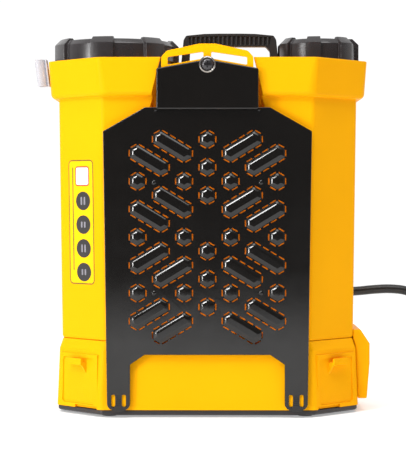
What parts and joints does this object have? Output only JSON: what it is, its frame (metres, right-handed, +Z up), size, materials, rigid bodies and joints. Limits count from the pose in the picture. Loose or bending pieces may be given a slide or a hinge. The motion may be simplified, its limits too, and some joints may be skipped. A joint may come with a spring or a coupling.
{
  "type": "backpack sprayer",
  "caption": "Upright knapsack sprayer: chamfered yellow tank on a pump base, black ribbed back plate, screw lids, folding handle, hose and spray gun.",
  "frame": {"origin": "middle of the base, on the surface that the sprayer stands on", "axes": "+Z up; the wearer's back lies against the -Y side; +X is to the right as that side is looked at"},
  "size_m": [0.6674, 0.4162, 0.4693],
  "materials": {
    "tank_yellow": "semi-gloss blow-moulded polyethylene",
    "base_yellow": "semi-gloss moulded plastic",
    "hanger_yellow": "semi-gloss moulded plastic",
    "plate_black": "high-gloss moulded plastic",
    "lid_black": "satin moulded plastic",
    "handle_black": "satin moulded plastic",
    "tray_black": "satin moulded plastic",
    "panel_black": "fine matte moulded plastic",
    "meter_black": "gloss lens",
    "rubber": "matte moulded rubber",
    "gasket_rubber": "matte rubber",
    "hose_black": "smooth satin hose",
    "tie_black": "satin plastic",
    "screw_steel": "zinc-plated steel",
    "screw_dark": "black oxide steel",
    "washer_steel": "dark plated steel",
    "strainer_grey": "fine grey plastic mesh",
    "clip_white": "natural nylon",
    "battery_grey": "matte moulded case",
    "terminal_brass": "tinned brass tab",
    "motor_steel": "drawn steel can",
    "pump_black": "matte moulded plastic",
    "clear_hose": "clear PVC hose",
    "fitting_black": "satin moulded plastic",
    "lead_red": "PVC insulation",
    "gun_black": "satin moulded plastic",
    "lance_steel": "drawn stainless tube",
    "switch_red": "gloss rocker",
    "lever_red": "satin moulded plastic",
    "nozzle_orange": "satin moulded plastic"
  },
  "bodies": {
    "sprayer": {"tank": "tank_yellow", "base_housing": "base_yellow", "bottom_tray": "tray_black", "rubber_foot_1": "rubber", "rubber_foot_2": "rubber", "rubber_foot_3": "rubber", "rubber_foot_4": "rubber", "tray_screw_1": "screw_steel", "tray_screw_2": "screw_steel", "tray_screw_3": "screw_steel", "tray_screw_4": "screw_steel", "back_plate": "plate_black", "strap_hanger": "hanger_yellow", "hanger_washer": "washer_steel", "hanger_screw": "screw_dark", "strainer_basket": "strainer_grey", "handle_pin_left": "screw_steel", "handle_pin_right": "screw_steel", "lance_clip": "clip_white", "control_box": "base_yellow", "control_panel": "panel_black", "rocker_bezel": "panel_black", "charge_socket": "panel_black", "voltmeter": "meter_black", "battery": "battery_grey", "battery_terminal_front": "terminal_brass", "battery_terminal_back": "terminal_brass", "battery_clamp": "tray_black", "pump_motor": "motor_steel", "pump_head": "pump_black", "suction_hose": "clear_hose", "delivery_hose": "clear_hose", "tank_outlet": "fitting_black", "hose_elbow": "fitting_black", "hose_nut": "fitting_black", "panel_lead": "lead_red", "motor_lead": "lead_red", "spray_hose": "hose_black", "hose_coil": "hose_black", "hose_tail": "hose_black", "coil_tie": "tie_black", "gun_nut": "fitting_black", "gun_body": "gun_black", "lever_pin": "screw_steel", "lance_nut": "fitting_black", "lance_tube": "lance_steel", "lance_collar": "fitting_black"},
    "fill_lid_ring": {"fill_gasket": "gasket_rubber"},
    "fill_lid": {"fill_lid": "lid_black", "lid_vent": "rubber"},
    "dosing_lid_ring": {"dosing_gasket": "gasket_rubber"},
    "dosing_lid": {"dosing_lid": "lid_black"},
    "carry_handle": {"carry_handle": "handle_black"},
    "rocker_switch": {"rocker_switch": "switch_red"},
    "speed_knob": {"speed_knob": "panel_black"},
    "socket_cap": {"socket_cap": "rubber"},
    "gun_lever": {"gun_lever": "lever_red"},
    "lance": {"lance_slider": "lance_steel", "nozzle_body": "fitting_black"},
    "nozzle_cap": {"nozzle_cap": "nozzle_orange"}
  },
  "joints": [
    {"name": "fill_lid_lift", "type": "slide", "parent": "sprayer", "child": "fill_lid_ring", "axis": [0, 0, 1], "range_m": [0, 0.09]},
    {"name": "fill_lid_turn", "type": "hinge", "parent": "fill_lid_ring", "child": "fill_lid", "pos_m": [-0.1145, -0.012, 0.4125], "axis": [0, 0, 1], "range_deg": [0, 450]},
    {"name": "dosing_lid_lift", "type": "slide", "parent": "sprayer", "child": "dosing_lid_ring", "axis": [0, 0, 1], "range_m": [0, 0.07]},
    {"name": "dosing_lid_turn", "type": "hinge", "parent": "dosing_lid_ring", "child": "dosing_lid", "pos_m": [0.1377, -0.012, 0.4125], "axis": [0, 0, 1], "range_deg": [0, 450]},
    {"name": "handle_fold", "type": "hinge", "parent": "sprayer", "child": "carry_handle", "pos_m": [0.0278, 0, 0.4185], "axis": [-1, 0, 0], "range_deg": [0, 86]},
    {"name": "switch_rock", "type": "hinge", "parent": "sprayer", "child": "rocker_switch", "pos_m": [0.1941, -0.021, 0.0608], "axis": [0, -1, 0], "range_deg": [0, 14]},
    {"name": "knob_turn", "type": "hinge", "parent": "sprayer", "child": "speed_knob", "pos_m": [0.1903, 0.02, 0.06], "axis": [1, 0, 0], "range_deg": [0, 270]},
    {"name": "socket_cap_open", "type": "hinge", "parent": "sprayer", "child": "socket_cap", "pos_m": [0.1933, -0.021, 0.0438], "axis": [0, -1, 0], "range_deg": [0, 110]},
    {"name": "trigger_squeeze", "type": "hinge", "parent": "sprayer", "child": "gun_lever", "pos_m": [0.439, -0.062, 0.034], "axis": [-1, 0, 0], "range_deg": [0, 7], "stiffness_Nm_per_rad": 0.6, "springref_deg": -5.73},
    {"name": "lance_extend", "type": "slide", "parent": "sprayer", "child": "lance", "axis": [0, -1, 0], "range_m": [0, 0.11]},
    {"name": "nozzle_turn", "type": "hinge", "parent": "lance", "child": "nozzle_cap", "pos_m": [0.439, -0.2563, 0.0145], "axis": [0, 1, 0], "range_deg": [0, 360]}
  ]
}
